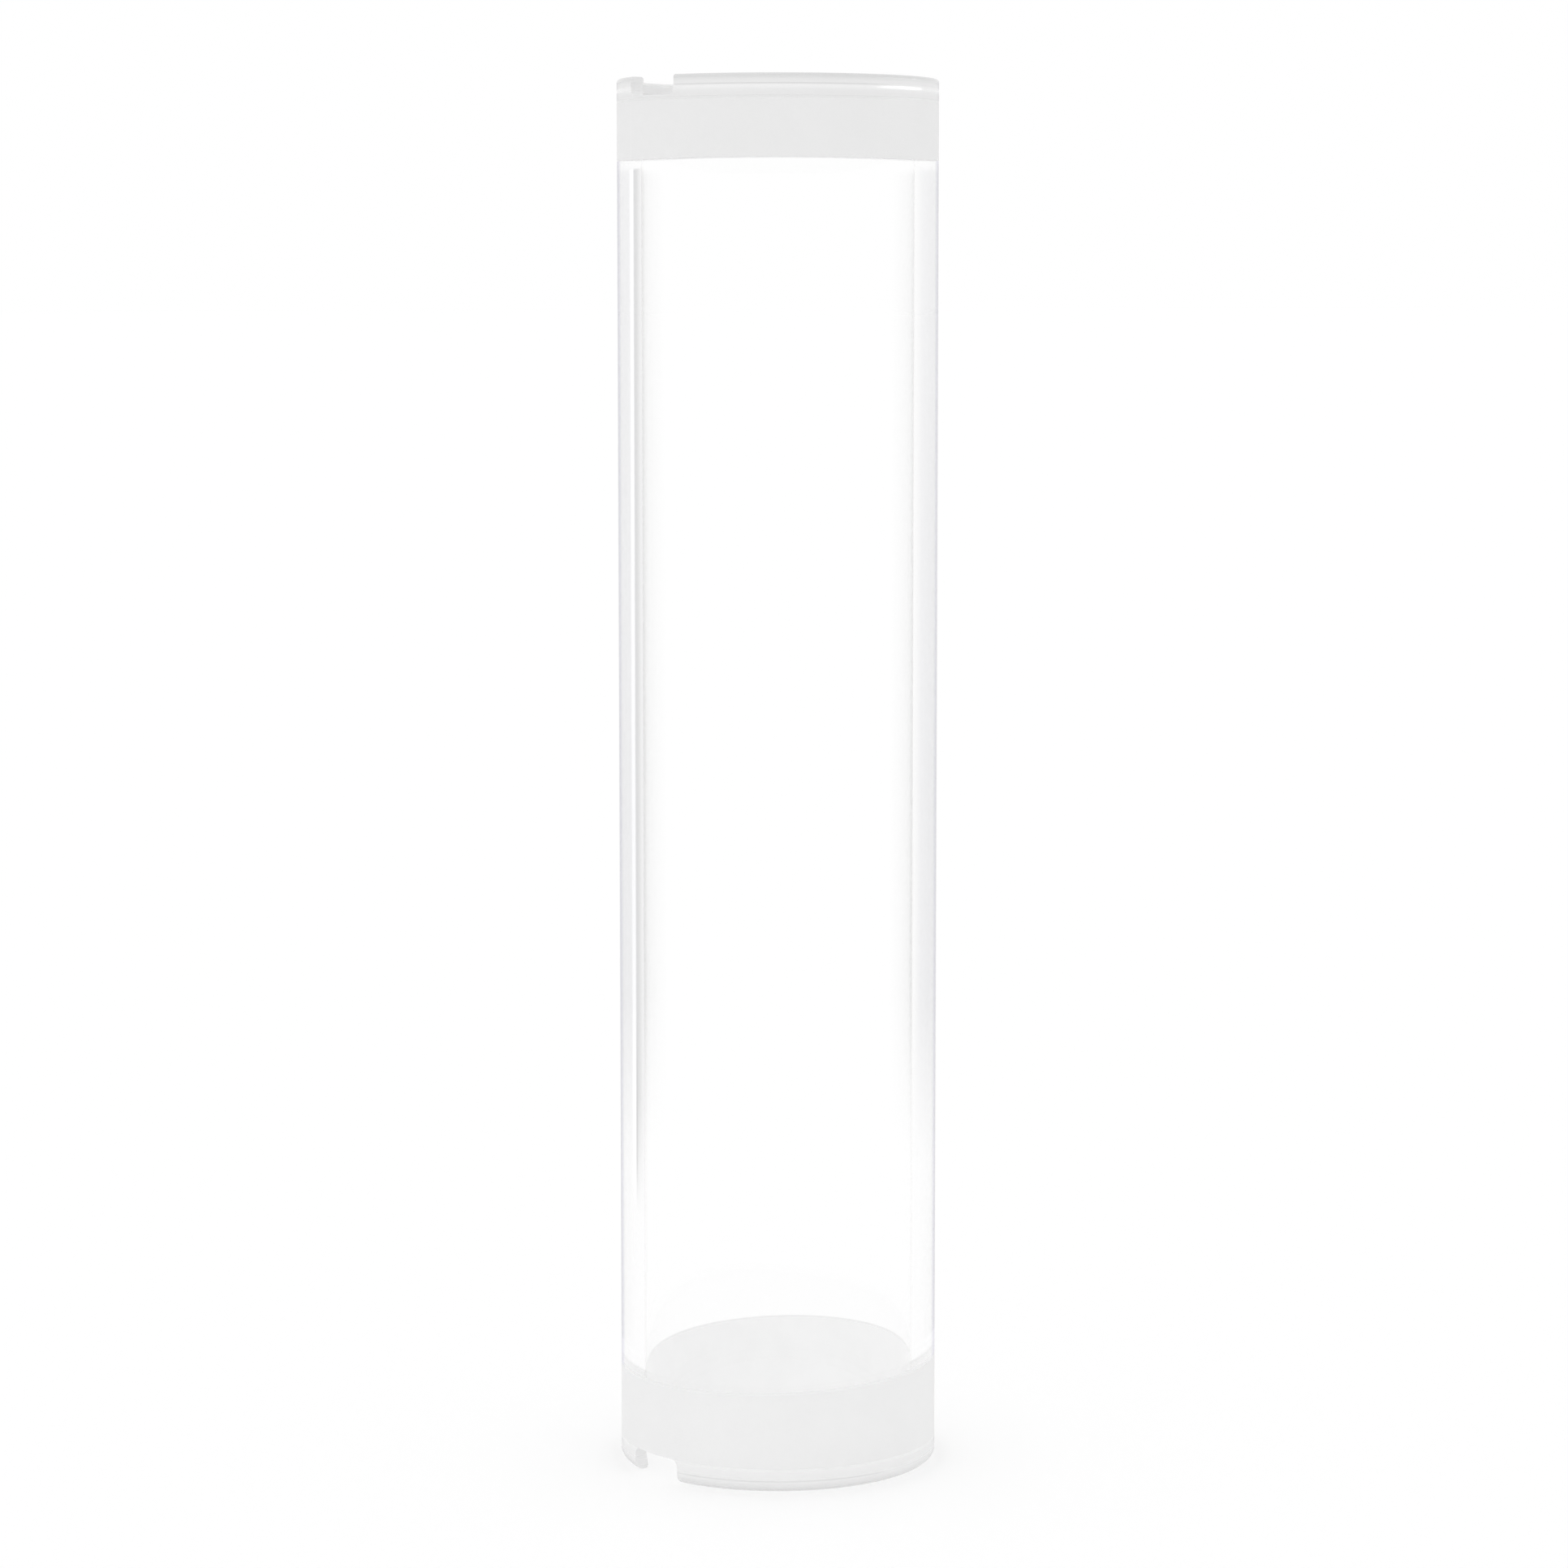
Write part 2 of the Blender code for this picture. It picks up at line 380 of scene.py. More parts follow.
def profile_object(name, profile):
    """A closed outline of (radius, height, corner rounding) points in the XZ plane."""
    mesh = bpy.data.meshes.new(f"{name}_profile")
    profile = with_supports(profile)
    count = len(profile)
    points = [(radius, 0, height) for radius, height, rounding in profile]
    mesh.from_pydata(points, [(i, (i + 1) % count) for i in range(count)], [])
    roundings = mesh.attributes.new("rounding", "FLOAT", "POINT")
    for i, point in enumerate(profile):
        roundings.data[i].value = point[2]
    outline = bpy.data.objects.new(f"{name}_profile", mesh)
    bpy.context.scene.collection.objects.link(outline)
    return outline


def socket_key(tree, name):
    for item in tree.interface.items_tree:
        if item.item_type == "SOCKET" and item.in_out == "INPUT" and item.name == name:
            return item.identifier
    raise KeyError(name)


def turned(name, profile, material, tree, cutter=None, notch_edge=0.0):
    """The finished mesh object of a turned piece, with a notch where a cutter is given."""
    outline = profile_object(name, profile)
    turning = outline.modifiers.new("Turn", "NODES")
    turning.node_group = tree
    turning[socket_key(tree, "Segments")] = SEGMENTS
    turning[socket_key(tree, "Corner Steps")] = CORNER_STEPS
    turning[socket_key(tree, "Finish")] = material
    if cutter is not None:
        cut = outline.modifiers.new("Notch", "BOOLEAN")
        cut.operation = "DIFFERENCE"
        cut.solver = "EXACT"
        cut.object = cutter
    if notch_edge > 0.0:
        bevel = outline.modifiers.new("Notch edges", "BEVEL")
        bevel.width = notch_edge
        bevel.segments = NOTCH_EDGE_STEPS
        bevel.limit_method = "ANGLE"
        bevel.angle_limit = NOTCH_EDGE_ANGLE
        bevel.use_clamp_overlap = True
    bpy.context.view_layer.update()
    evaluated = outline.evaluated_get(bpy.context.evaluated_depsgraph_get())
    mesh = bpy.data.meshes.new_from_object(evaluated)
    mesh.name = name
    bpy.data.objects.remove(outline, do_unlink=True)
    mesh.materials.clear()
    mesh.materials.append(material)
    mesh.polygons.foreach_set("material_index", [0] * len(mesh.polygons))
    clean(mesh)
    piece = bpy.data.objects.new(name, mesh)
    bpy.context.scene.collection.objects.link(piece)
    return piece


def clean(mesh):
    """Doubles merged, faces turned outwards, smooth shading with true edges kept."""
    shape = bmesh.new()
    shape.from_mesh(mesh)
    bmesh.ops.remove_doubles(shape, verts=shape.verts, dist=WELD_DISTANCE)
    bmesh.ops.recalc_face_normals(shape, faces=shape.faces)
    shape.to_mesh(mesh)
    shape.free()
    mesh.shade_smooth()
    mesh.set_sharp_from_angle(angle=SHARP_ANGLE)


def slant_rim(piece, rim_height, rises):
    """Raises and lowers a rim a little, as the band's edge runs."""
    everywhere, near, right, twice = rises
    for vertex in piece.data.vertices:
        if abs(vertex.co.z - rim_height) > RIM_REACH or vertex.co.xy.length < SPIGOT_RADIUS - FIT_CLEARANCE:
            continue
        turn = math.atan2(vertex.co.dot(VIEWERS_RIGHT), vertex.co.dot(TOWARDS_VIEWER))
        rise = everywhere + near * math.cos(turn) + right * math.sin(turn) + twice * math.cos(2 * turn)
        vertex.co.z += rise


def grind_spigots(barrel, finish):
    """Gives every face but the bore and the outside, which are upright, the matt finish of a spigot."""
    barrel.data.materials.append(finish)
    matt = len(barrel.data.materials) - 1
    for face in barrel.data.polygons:
        radius = face.center.xy.length
        on_wall = radius < BORE_RADIUS + GROUND_MARGIN or radius > OUTER_RADIUS - GROUND_MARGIN
        if not on_wall or abs(face.normal.z) > LEAST_TILT:
            face.material_index = matt


def barrel_profile():
    low_shoulder = LOWER_SLEEVE[1] + SHOULDER_GAP
    high_shoulder = UPPER_SLEEVE[0] - SHOULDER_GAP
    low, high = BARREL
    return [
        (BORE_RADIUS, low, EDGE_ROUNDING),
        (SPIGOT_RADIUS, low, LEAD_IN_ROUNDING),
        (SPIGOT_RADIUS, low_shoulder, 0.0),
        (OUTER_RADIUS, low_shoulder, 0.0),
        (OUTER_RADIUS, high_shoulder, 0.0),
        (SPIGOT_RADIUS, high_shoulder, 0.0),
        (SPIGOT_RADIUS, high, LEAD_IN_ROUNDING),
        (BORE_RADIUS, high, EDGE_ROUNDING),
    ]


def sleeve_profile(low, high, mouth):
    """A sleeve's section: its mouth, the end that takes the spigot, has the larger roundings."""
    at_mouth = (LEAD_IN_ROUNDING, SEAM_ROUNDING)
    at_seam = (SEAM_ROUNDING, SEAM_ROUNDING)
    low_inner, low_outer = at_mouth if mouth == "low" else at_seam
    high_inner, high_outer = at_mouth if mouth == "high" else at_seam
    return [
        (SLEEVE_BORE, low, low_inner),
        (OUTER_RADIUS, low, low_outer),
        (OUTER_RADIUS, high, high_outer),
        (SLEEVE_BORE, high, high_inner),
    ]


def lip_profile(seat, end, rounding):
    """A lip's section, from its seat on the sleeve to its free end, which is thicker and rounded."""
    return [
        (OUTER_RADIUS - LIP_END_WALL, end, LIP_INNER_ROUNDING),
        (OUTER_RADIUS, end, rounding),
        (OUTER_RADIUS, seat, SEAM_ROUNDING),
        (OUTER_RADIUS - LIP_SEAT_WALL, seat, SEAM_ROUNDING),
    ]


def cement_profile(low, high):
    """The thin bead of cement that fills the seam between a lip and its sleeve."""
    outer = OUTER_RADIUS - CEMENT_RECESS
    return [
        (outer - CEMENT_DEPTH, low, 0.0),
        (outer, low, 0.0),
        (outer, high, 0.0),
        (outer - CEMENT_DEPTH, high, 0.0),
    ]


def notch_cutter(name, end, inwards, depth):
    """A block across the wall on the -Y side. inwards is +1 where the lip rises from its free end."""
    inner = BORE_RADIUS - 2 * CUTTER_MARGIN
    outer = OUTER_RADIUS + CUTTER_MARGIN
    height = depth + CUTTER_MARGIN
    shape = bmesh.new()
    bmesh.ops.create_cube(shape, size=1.0)
    bmesh.ops.scale(shape, vec=(NOTCH_WIDTH, outer - inner, height), verts=shape.verts)
    floor_edges = []
    for edge in shape.edges:
        first, second = edge.verts
        along_y = abs(first.co.y - second.co.y) > height / 2
        if along_y and first.co.z * inwards > 0 and second.co.z * inwards > 0:
            floor_edges.append(edge)
    bmesh.ops.bevel(
        shape,
        geom=floor_edges,
        offset=NOTCH_CORNER,
        segments=CORNER_STEPS,
        profile=0.5,
        affect="EDGES",
    )
    centre = Vector((0, -(inner + outer) / 2, end + inwards * (depth - height / 2)))
    bmesh.ops.transform(shape, matrix=Matrix.Translation(centre), verts=shape.verts)
    mesh = bpy.data.meshes.new(name)
    shape.to_mesh(mesh)
    shape.free()
    cutter = bpy.data.objects.new(name, mesh)
    bpy.context.scene.collection.objects.link(cutter)
    return cutter


# Finishes


def new_material(name):
    material = bpy.data.materials.new(name)
    material.use_nodes = True
    tree = material.node_tree
    return material, tree, tree.nodes["Principled BSDF"], tree.nodes["Material Output"]


def grey(level):
    return (level, level, level, 1.0)


def ramped(tree, place, value, stops):
    """The colour that a value has between (position, grey or colour) stops, in rising order."""
    ramp = add_node(tree, "ShaderNodeValToRGB", place)
    elements = ramp.color_ramp.elements
    elements[0].position = stops[0][0]
    elements[-1].position = stops[-1][0]
    for position, colour in stops[1:-1]:
        elements.new(position)
    for element, (position, colour) in zip(elements, stops):
        element.color = (*colour, 1.0) if isinstance(colour, tuple) else grey(colour)
    link(tree, value, ramp.inputs["Fac"])
    return ramp.outputs["Color"]


def through_lamps(tree, shader, output, share):
    """Lets this share of soft light and lamp light pass at each surface, as pale clear plastic does."""
    path = add_node(tree, "ShaderNodeLightPath", (200, 400))
    clear = add_node(tree, "ShaderNodeBsdfTransparent", (200, -200))
    clear.inputs["Color"].default_value = grey(share)
    shown = shader.outputs["BSDF"]
    for step, ray in enumerate(("Is Diffuse Ray", "Is Shadow Ray")):
        mix = add_node(tree, "ShaderNodeMixShader", (450 + 200 * step, 100))
        link(tree, path.outputs[ray], mix.inputs["Fac"])
        link(tree, shown, mix.inputs[1])
        link(tree, clear.outputs["BSDF"], mix.inputs[2])
        shown = mix.outputs["Shader"]
    output.location = (900, 100)
    link(tree, shown, output.inputs["Surface"])


def object_point(tree, place, stretch=(1.0, 1.0, 1.0)):
    """The surface's own point in metres, scaled for a texture."""
    coordinates = add_node(tree, "ShaderNodeTexCoord", place)
    mapping = add_node(tree, "ShaderNodeMapping", (place[0] + 200, place[1]))
    mapping.inputs["Scale"].default_value = stretch
    link(tree, coordinates.outputs["Object"], mapping.inputs["Vector"])
    return mapping.outputs["Vector"]


def own_axes(tree, place):
    """The surface's own point in metres, apart in X, Y and Z."""
    coordinates = add_node(tree, "ShaderNodeTexCoord", place)
    apart = add_node(tree, "ShaderNodeSeparateXYZ", (place[0] + 200, place[1]))
    link(tree, coordinates.outputs["Object"], apart.inputs["Vector"])
    return apart.outputs


def noise(tree, place, vector, scale, detail=PLAIN_DETAIL):
    texture = add_node(tree, "ShaderNodeTexNoise", place)
    texture.inputs["Scale"].default_value = scale
    texture.inputs["Detail"].default_value = detail
    link(tree, vector, texture.inputs["Vector"])
    return texture.outputs["Fac"]


def mapped(tree, place, value, source, target=(0.0, 1.0), unit=1.0):
    """A value moved from one range, in the unit given, to another and held inside it."""
    node = add_node(tree, "ShaderNodeMapRange", place)
    node.inputs["From Min"].default_value = source[0] * unit
    node.inputs["From Max"].default_value = source[1] * unit
    node.inputs["To Min"].default_value = target[0]
    node.inputs["To Max"].default_value = target[1]
    link(tree, value, node.inputs["Value"])
    return node.outputs["Result"]


def blended(tree, place, factor, first, second, blend="MIX"):
    """Two colours mixed. A number or colour given for a socket is set on it."""
    node = add_node(tree, "ShaderNodeMix", place, data_type="RGBA", blend_type=blend)
    sockets = (node.inputs["Factor"], node.inputs[MIX_FIRST], node.inputs[MIX_SECOND])
    for socket, given in zip(sockets, (factor, first, second)):
        if isinstance(given, bpy.types.NodeSocket):
            link(tree, given, socket)
        else:
            socket.default_value = given
    return node.outputs[MIX_RESULT]


def clouded(tree, place, cloud, tones):
    """A noise shown as a soft change between two greys."""
    share = mapped(tree, place, cloud, NOISE_RANGE)
    return blended(tree, (place[0] + 200, place[1]), share, grey(tones[0]), grey(tones[1]))


def bump(tree, place, height, shader, strength, distance):
    node = add_node(tree, "ShaderNodeBump", place)
    node.inputs["Strength"].default_value = strength
    node.inputs["Distance"].default_value = distance
    link(tree, height, node.inputs["Height"])
    link(tree, node.outputs["Normal"], shader.inputs["Normal"])


def by_height(tree, place):
    """0 at the tube's lower end and 1 at its upper end."""
    height = own_axes(tree, place)["Z"]
    return mapped(tree, (place[0] + 400, place[1]), height, HEIGHT_RANGE, unit=TUBE_LENGTH)


def product(tree, place, first, second):
    node = add_node(tree, "ShaderNodeMath", place, operation="MULTIPLY")
    link(tree, first, node.inputs[0])
    link(tree, second, node.inputs[1])
    return node.outputs[0]


def outwards(tree, place):
    """1 on a turned piece's outside, 0 on its ends, its inside and the faces of a notch."""
    coordinates = add_node(tree, "ShaderNodeTexCoord", place)
    level = add_node(tree, "ShaderNodeVectorMath", (place[0] + 200, place[1]), operation="MULTIPLY")
    level.inputs[1].default_value = (1.0, 1.0, 0.0)
    radial = add_node(tree, "ShaderNodeVectorMath", (place[0] + 400, place[1]), operation="NORMALIZE")
    faces = add_node(tree, "ShaderNodeNewGeometry", (place[0] + 400, place[1] - 200))
    lean = add_node(tree, "ShaderNodeVectorMath", (place[0] + 600, place[1]), operation="DOT_PRODUCT")
    link(tree, coordinates.outputs["Object"], level.inputs[0])
    link(tree, level.outputs["Vector"], radial.inputs[0])
    link(tree, radial.outputs["Vector"], lean.inputs[0])
    link(tree, faces.outputs["Normal"], lean.inputs[1])
    return mapped(tree, (place[0] + 800, place[1]), lean.outputs["Value"], OUTSIDE_LEAN)


def facing(tree, place):
    """0 where a surface faces the viewer and 1 where it is seen along itself."""
    weight = add_node(tree, "ShaderNodeLayerWeight", place)
    weight.inputs["Blend"].default_value = FACING_BLEND
    return weight.outputs["Facing"]


def painted_facing_shade(tree, place, stops):
    """Painted shade: darkens clear plastic where it is seen along its surface, for the dark refractions and
    reflections of thick walls.
    """
    return ramped(tree, (place[0] + 200, place[1]), facing(tree, place), stops)


def clear_acrylic():
    material, tree, shader, output = new_material("clear_acrylic_polished")
    shader.inputs["Transmission Weight"].default_value = 1.0
    shader.inputs["IOR"].default_value = ACRYLIC_IOR
    # Painted shade: outline, outer wall and bore darkened where seen side-on, for the dark lines refraction
    # draws in the wall, fading with height
    outline = painted_facing_shade(tree, (-1700, 700), OUTLINE_PAINTED_SHADE)
    outer_wall_shade = painted_facing_shade(tree, (-1700, 450), OUTER_WALL_PAINTED_SHADE)
    bore_wall_shade = painted_facing_shade(tree, (-1700, 200), BORE_WALL_PAINTED_SHADE)
    axes = own_axes(tree, (-1900, -200))
    flat = add_node(tree, "ShaderNodeCombineXYZ", (-1500, -100))
    link(tree, axes["X"], flat.inputs["X"])
    link(tree, axes["Y"], flat.inputs["Y"])
    radius = add_node(tree, "ShaderNodeVectorMath", (-1300, -100), operation="LENGTH")
    link(tree, flat.outputs["Vector"], radius.inputs[0])
    half_way = (SPIGOT_RADIUS + OUTER_RADIUS) / 2
    outside = mapped(tree, (-1100, 0), radius.outputs["Value"], (half_way, half_way + SURFACE_STEP))
    half_way = (SPIGOT_RADIUS + BORE_RADIUS) / 2
    at_bore = (half_way, half_way + SURFACE_STEP)
    inside = mapped(tree, (-1100, -250), radius.outputs["Value"], at_bore, (1.0, 0.0))
    share = mapped(tree, (-1500, -350), axes["Z"], (0.0, TUBE_LENGTH))
    strength = ramped(tree, (-1300, -350), share, WALL_PAINTED_SHADE_STRENGTH)
    bore = blended(tree, (-900, 100), inside, WHITE, bore_wall_shade)
    wall = blended(tree, (-700, 200), outside, bore, outer_wall_shade)
    faded = blended(tree, (-500, 300), strength, WHITE, wall)
    edge = blended(tree, (-500, 600), outside, WHITE, outline)
    colour = blended(tree, (-300, 400), 1.0, faded, edge, "MULTIPLY")
    link(tree, colour, shader.inputs["Base Color"])

    drawn = noise(tree, (-900, -600), object_point(tree, (-1300, -600), DRAWN_STRETCH), DRAWN_GRAIN)
    polish = mapped(tree, (-700, -600), drawn, GRAIN_RANGE, CLEAR_ROUGHNESS)
    link(tree, polish, shader.inputs["Roughness"])
    bump(tree, (-500, -600), drawn, shader, *DRAWN_BUMP)
    through_lamps(tree, shader, output, CLEAR_SHARE)
    return material


def from_end(tree, place):
    """The distance from the nearer end of the tube, as a share of a lip's height."""
    height = own_axes(tree, place)["Z"]
    other = add_node(tree, "ShaderNodeMath", (place[0] + 400, place[1] - 150), operation="SUBTRACT")
    other.inputs[0].default_value = TUBE_LENGTH
    link(tree, height, other.inputs[1])
    nearer = add_node(tree, "ShaderNodeMath", (place[0] + 600, place[1]), operation="MINIMUM")
    link(tree, height, nearer.inputs[0])
    link(tree, other.outputs[0], nearer.inputs[1])
    return mapped(tree, (place[0] + 800, place[1]), nearer.outputs[0], (0.0, LIP_HEIGHT))


def polished_acrylic():
    """Milky clear plastic with a painted dark shade line round its outside and a polished strip beside it,
    painted shade towards its free end, at edges seen side-on and inside, and a painted highlight band on
    the upper lip.
    """
    material, tree, shader, output = new_material("clear_acrylic_lip")
    shader.inputs["Transmission Weight"].default_value = LIP_CLEARNESS
    shader.inputs["IOR"].default_value = ACRYLIC_IOR
    # Painted shade where the lip is seen side-on
    edge_shade = painted_facing_shade(tree, (-1100, 400), LIP_EDGE_PAINTED_SHADE)
    rise = from_end(tree, (-1900, 700))
    height = by_height(tree, (-1900, 1300))
    tones = []
    # Painted shade by height from the free end, with a painted highlight band on the upper lip, and a
    # painted dark shade line
    for row, pair in enumerate(((LOWER_LIP_PAINTED_SHADE, UPPER_LIP_SHADE_AND_HIGHLIGHT), (LOWER_LIP_SHADE_LINE, UPPER_LIP_SHADE_LINE))):
        ramps = []
        for column, stops in enumerate(pair):
            ramps.append(ramped(tree, (-900, 700 + 300 * (2 * row + column)), rise, stops))
        tones.append(blended(tree, (-600, 800 + 600 * row), height, *ramps))
    shade, line = tones
    outside = outwards(tree, (-1900, 1900))
    in_front = mapped(tree, (-1700, 1600), facing(tree, (-1900, 1600)), LIP_LINE_FACING, (1.0, 0.0))
    line_seen = product(tree, (-900, 1900), outside, in_front)
    cloud = noise(tree, (-900, -100), object_point(tree, (-1300, -100)), LIP_CLOUD, FINE_DETAIL)
    cloudiness = mapped(tree, (-700, 100), cloud, LIP_CLOUD_RANGE, (0.0, LIP_CLOUD_SHARE))
    cloudy = blended(tree, (-500, 300), cloudiness, edge_shade, grey(LIP_CLOUD_TONE))
    # Painted shade on the inside and the notch faces, deeper on the upper lip
    inside = blended(tree, (-600, 2000), height, grey(LOWER_LIP_INSIDE_SHADE), grey(UPPER_LIP_INSIDE_SHADE))
    tone = blended(tree, (-450, 1000), outside, inside, shade)
    shaded = blended(tree, (-300, 600), 1.0, cloudy, tone, "MULTIPLY")
    lined = blended(tree, (-150, 500), line_seen, shaded, line, "MULTIPLY")
    link(tree, lined, shader.inputs["Base Color"])
    turned_marks = noise(tree, (-900, -400), object_point(tree, (-1300, -400), LIP_STRETCH), LIP_GRAIN)
    polish = mapped(tree, (-700, -400), turned_marks, GRAIN_RANGE, LIP_ROUGHNESS)
    dull = ramped(tree, (-900, -700), rise, LIP_DULLNESS)
    roughness = add_node(tree, "ShaderNodeMath", (-500, -600), operation="ADD")
    link(tree, polish, roughness.inputs[0])
    link(tree, dull, roughness.inputs[1])
    link(tree, roughness.outputs[0], shader.inputs["Roughness"])
    bump(tree, (-500, -400), turned_marks, shader, *LIP_BUMP)
    through_lamps(tree, shader, output, LIP_SHARE)
    return material


def ground_acrylic():
    """The matt ground face of a spigot, under its collar, with a painted shade that makes the level
    shoulders in the seam a little greyer.
    """
    material, tree, shader, output = new_material("ground_acrylic_spigot")
    shader.inputs["Specular IOR Level"].default_value = 0.0
    cloud = noise(tree, (-1100, 300), object_point(tree, (-1500, 300)), SPIGOT_CLOUD, FINEST_DETAIL)
    pale = clouded(tree, (-900, 300), cloud, SPIGOT_TONES)
    faces = add_node(tree, "ShaderNodeNewGeometry", (-1500, 600))
    apart = add_node(tree, "ShaderNodeSeparateXYZ", (-1300, 600))
    link(tree, faces.outputs["True Normal"], apart.inputs["Vector"])
    level = add_node(tree, "ShaderNodeMath", (-1100, 600), operation="ABSOLUTE")
    link(tree, apart.outputs["Z"], level.inputs[0])
    shoulder = mapped(tree, (-900, 600), level.outputs[0], SHOULDER_TILT)
    colour = blended(tree, (-300, 400), shoulder, pale, grey(SHOULDER_PAINTED_SHADE))
    link(tree, colour, shader.inputs["Base Color"])
    grain = noise(tree, (-1100, -200), object_point(tree, (-1500, -200)), SPIGOT_GRAIN, FINE_DETAIL)
    roughness = mapped(tree, (-900, -200), grain, NOISE_RANGE, MATT_ROUGHNESS)
    link(tree, roughness, shader.inputs["Roughness"])
    bump(tree, (-500, -200), grain, shader, *SPIGOT_BUMP)
    through_lamps(tree, shader, output, FROSTED_SHARE)
    return material


def frosted_acrylic():
    material, tree, shader, output = new_material("frosted_acrylic_sleeve")
    shader.inputs["Transmission Weight"].default_value = SLEEVE_CLEARNESS
    shader.inputs["IOR"].default_value = ACRYLIC_IOR
    shader.inputs["Specular IOR Level"].default_value = SLEEVE_GLOSS
    cloud = noise(tree, (-1100, 400), object_point(tree, (-1500, 400)), SLEEVE_CLOUD, FINE_DETAIL)
    soft = clouded(tree, (-900, 400), cloud, SLEEVE_TONES)
    height = by_height(tree, (-1100, 700))
    streak = noise(tree, (-1100, 100), object_point(tree, (-1500, 100), STREAK_STRETCH), SLEEVE_STREAKS)
    streakiness = mapped(tree, (-900, 100), streak, STREAK_RANGE, (0.0, STREAK_SHARE))
    streaks = product(tree, (-700, 100), streakiness, height)
    streaked = blended(tree, (-500, 300), streaks, soft, grey(STREAK_TONE))
    specks = add_node(tree, "ShaderNodeTexVoronoi", (-1100, -200))
    specks.inputs["Scale"].default_value = SLEEVE_SPECKS
    link(tree, object_point(tree, (-1500, -200)), specks.inputs["Vector"])
    speck = mapped(tree, (-900, -200), specks.outputs["Distance"], SPECK_RANGE, (DUST_SHARE, 0.0))
    near_foot = mapped(tree, (-700, -100), height, (0.0, 1.0), (1.0, 0.0))
    dust = product(tree, (-500, -100), speck, near_foot)
    dusty = blended(tree, (-300, 300), dust, streaked, DUST_COLOUR)
    # Painted shade: the sleeve greyer towards the upper end
    upper_shade = mapped(tree, (-500, 700), height, (0.0, 1.0), (0.0, UPPER_SLEEVE_SHADE_SHARE))
    colour = blended(tree, (-100, 400), upper_shade, dusty, grey(UPPER_SLEEVE_SHADE))
    link(tree, colour, shader.inputs["Base Color"])
    grain = noise(tree, (-1100, -500), object_point(tree, (-1500, -500)), SLEEVE_GRAIN, FINE_DETAIL)
    roughness = mapped(tree, (-900, -500), grain, NOISE_RANGE, MATT_ROUGHNESS)
    link(tree, roughness, shader.inputs["Roughness"])
    bump(tree, (-500, -500), grain, shader, *SLEEVE_BUMP)
    through_lamps(tree, shader, output, FROSTED_SHARE)
    return material


def cement():
    material, tree, shader, output = new_material("pale_cement")
    shader.inputs["Transmission Weight"].default_value = CEMENT_CLEARNESS
    bead = noise(tree, (-900, 0), object_point(tree, (-1300, 0)), CEMENT_GRAIN, FINE_DETAIL)
    colour = clouded(tree, (-700, 200), bead, CEMENT_TONES)
    # Painted shade: the cement greyer towards the upper end
    shaded_at_top = blended(tree, (-300, 300), by_height(tree, (-1300, 400)), colour, grey(UPPER_CEMENT_SHADE))
    link(tree, shaded_at_top, shader.inputs["Base Color"])
    roughness = mapped(tree, (-700, -100), bead, NOISE_RANGE, CEMENT_ROUGHNESS)
    link(tree, roughness, shader.inputs["Roughness"])
    bump(tree, (-500, -200), bead, shader, *CEMENT_BUMP)
    through_lamps(tree, shader, output, LIP_SHARE)
    return material


# Studio


def seen_directly(tree):
    """1 for the rays that show the stage itself, straight, mirrored or through clear plastic."""
    path = add_node(tree, "ShaderNodeLightPath", (-900, 300))
    first = add_node(tree, "ShaderNodeMath", (-700, 300), operation="ADD")
    either = add_node(tree, "ShaderNodeMath", (-500, 300), operation="ADD")
    either.use_clamp = True
    link(tree, path.outputs["Is Camera Ray"], first.inputs[0])
    link(tree, path.outputs["Is Glossy Ray"], first.inputs[1])
    link(tree, first.outputs[0], either.inputs[0])
    link(tree, path.outputs["Is Transmission Ray"], either.inputs[1])
    return either.outputs[0]


def build_world():
    """A plain white surround, which gives most of the light."""
    world = bpy.data.worlds.new("studio")
    bpy.context.scene.world = world
    world.use_nodes = True
    background = world.node_tree.nodes["Background"]
    background.inputs["Color"].default_value = WHITE
    background.inputs["Strength"].default_value = WORLD_LIGHT


def build_floor():
    bpy.ops.mesh.primitive_plane_add(size=FLOOR_SIDE)
    floor = bpy.context.active_object
    floor.name = "floor"
    floor.location.z = -FLOOR_DROP
    material, tree, shader, output = new_material("white_floor")
    shader.inputs["Base Color"].default_value = grey(FLOOR_COLOUR)
    shader.inputs["Roughness"].default_value = 1.0
    shader.inputs["Specular IOR Level"].default_value = 0.0
    glow = add_node(tree, "ShaderNodeMath", (-300, 300), operation="MULTIPLY")
    glow.inputs[1].default_value = FLOOR_GLOW
    link(tree, seen_directly(tree), glow.inputs[0])
    shader.inputs["Emission Color"].default_value = WHITE
    link(tree, glow.outputs[0], shader.inputs["Emission Strength"])
    floor.data.materials.append(material)


def build_key_light():
    """A broad soft light from above, in front and to the viewer's left."""
    lamp = bpy.data.lights.new("key_light", "SUN")
    lamp.energy = KEY_LIGHT
    lamp.angle = KEY_SPREAD
    key = bpy.data.objects.new("key_light", lamp)
    side = (TOWARDS_VIEWER - VIEWERS_RIGHT).normalized()
    source = side * math.sin(KEY_LEAN) + Vector((0, 0, math.cos(KEY_LEAN)))
    key.rotation_euler = source.to_track_quat("Z", "Y").to_euler()
    bpy.context.scene.collection.objects.link(key)


